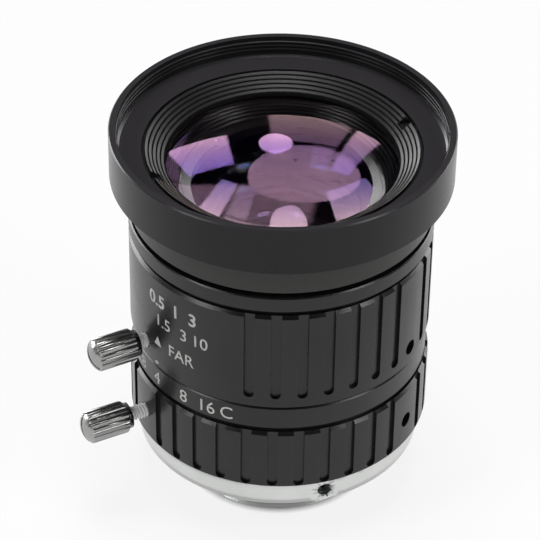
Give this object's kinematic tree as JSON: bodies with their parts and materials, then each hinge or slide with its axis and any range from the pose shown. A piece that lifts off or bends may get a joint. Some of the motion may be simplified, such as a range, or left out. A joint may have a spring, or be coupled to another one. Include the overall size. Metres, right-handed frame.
{
  "type": "c-mount machine vision lens",
  "caption": "Fixed focal length camera lens with screw mount, ribbed focus and iris rings, knurled lock screws, ridged front ring, coated glass and a working iris.",
  "frame": {"origin": "centre of the mount's flange face, on the lens axis", "axes": "+Z along the lens axis, from the camera to the subject"},
  "size_m": [0.0479, 0.044, 0.0534],
  "materials": {
    "black_anodised": "satin black anodised aluminium",
    "matte_black": "matte black",
    "satin_silver": "satin clear anodised aluminium",
    "nickel_plate": "bright nickel plated steel",
    "bright_steel": "plain steel",
    "black_steel": "blackened steel",
    "blade_steel": "thin blackened spring steel",
    "coated_glass": "polished glass with a violet anti-reflection coating",
    "inner_glass": "polished glass with a green anti-reflection coating"
  },
  "bodies": {
    "fixed_body": {"c_mount_ring": "satin_silver", "mount_set_screws": "black_steel", "main_barrel": "black_anodised", "focus_keeper_ring": "black_anodised", "guide_pin": "bright_steel"},
    "focus_ring": {"focus_ring": "black_anodised"},
    "focus_lock": {"focus_lock_screw": "nickel_plate"},
    "iris_ring": {"iris_ring": "black_anodised", "iris_drive_screw": "black_steel"},
    "iris_lock": {"iris_lock_screw": "nickel_plate"},
    "optical_unit": {"front_barrel": "black_anodised", "front_retaining_ring": "matte_black", "front_element": "coated_glass", "ridged_baffle": "matte_black", "inner_barrel": "matte_black", "inner_retaining_ring": "matte_black", "second_element": "inner_glass", "lens_spacer": "matte_black", "third_element": "inner_glass", "iris_base": "matte_black", "rear_cell": "matte_black", "fourth_element": "inner_glass", "fifth_element": "inner_glass", "rear_spacer": "matte_black", "sixth_element": "coated_glass", "rear_retaining_ring": "matte_black"},
    "iris_cam": {"iris_cam_ring": "matte_black"},
    "blade_1": {"iris_blade_1": "blade_steel"},
    "blade_2": {"iris_blade_2": "blade_steel"},
    "blade_3": {"iris_blade_3": "blade_steel"},
    "blade_4": {"iris_blade_4": "blade_steel"},
    "blade_5": {"iris_blade_5": "blade_steel"}
  },
  "joints": [
    {"name": "focus_turn", "type": "hinge", "parent": "fixed_body", "child": "focus_ring", "pos_m": [0, 0, 0.02235], "axis": [0, 0, 1], "range_deg": [0, 130]},
    {"name": "front_slide", "type": "slide", "parent": "fixed_body", "child": "optical_unit", "axis": [0, 0, 1], "range_m": [0, 0.0024]},
    {"name": "focus_lock_turn", "type": "hinge", "parent": "focus_ring", "child": "focus_lock", "pos_m": [-0.01842, -0.01008, 0.02235], "axis": [-0.8771, -0.4802, 0], "range_deg": [0, 1080]},
    {"name": "iris_turn", "type": "hinge", "parent": "fixed_body", "child": "iris_ring", "pos_m": [0, 0, 0.01035], "axis": [0, 0, 1], "range_deg": [-34, 24]},
    {"name": "iris_lock_turn", "type": "hinge", "parent": "iris_ring", "child": "iris_lock", "pos_m": [-0.01856, -0.00983, 0.01035], "axis": [-0.8838, -0.4679, 0], "range_deg": [-1080, 0]},
    {"name": "iris_cam_turn", "type": "hinge", "parent": "optical_unit", "child": "iris_cam", "pos_m": [0, 0, 0.0177], "axis": [0, 0, 1], "range_deg": [-34.2, 24.2]},
    {"name": "blade_1_swing", "type": "hinge", "parent": "optical_unit", "child": "blade_1", "pos_m": [0.0102, 0, 0.0195], "axis": [0, 0, 1], "range_deg": [-15, 21.2]},
    {"name": "blade_2_swing", "type": "hinge", "parent": "optical_unit", "child": "blade_2", "pos_m": [0.00315, 0.0097, 0.0195], "axis": [0, 0, 1], "range_deg": [-15, 21.2]},
    {"name": "blade_3_swing", "type": "hinge", "parent": "optical_unit", "child": "blade_3", "pos_m": [-0.00825, 0.006, 0.0195], "axis": [0, 0, 1], "range_deg": [-15, 21.2]},
    {"name": "blade_4_swing", "type": "hinge", "parent": "optical_unit", "child": "blade_4", "pos_m": [-0.00825, -0.006, 0.0195], "axis": [0, 0, 1], "range_deg": [-15, 21.2]},
    {"name": "blade_5_swing", "type": "hinge", "parent": "optical_unit", "child": "blade_5", "pos_m": [0.00315, -0.0097, 0.0195], "axis": [0, 0, 1], "range_deg": [-15, 21.2]}
  ],
  "couplings": [
    {"joint": "focus_turn", "follows": "front_slide", "rad_per_m": 945.38},
    {"joint": "iris_cam_turn", "follows": "iris_turn", "ratio": 1},
    {"joint": "blade_1_swing", "follows": "iris_turn", "ratio": -0.62069},
    {"joint": "blade_2_swing", "follows": "iris_turn", "ratio": -0.62069},
    {"joint": "blade_3_swing", "follows": "iris_turn", "ratio": -0.62069},
    {"joint": "blade_4_swing", "follows": "iris_turn", "ratio": -0.62069},
    {"joint": "blade_5_swing", "follows": "iris_turn", "ratio": -0.62069}
  ]
}
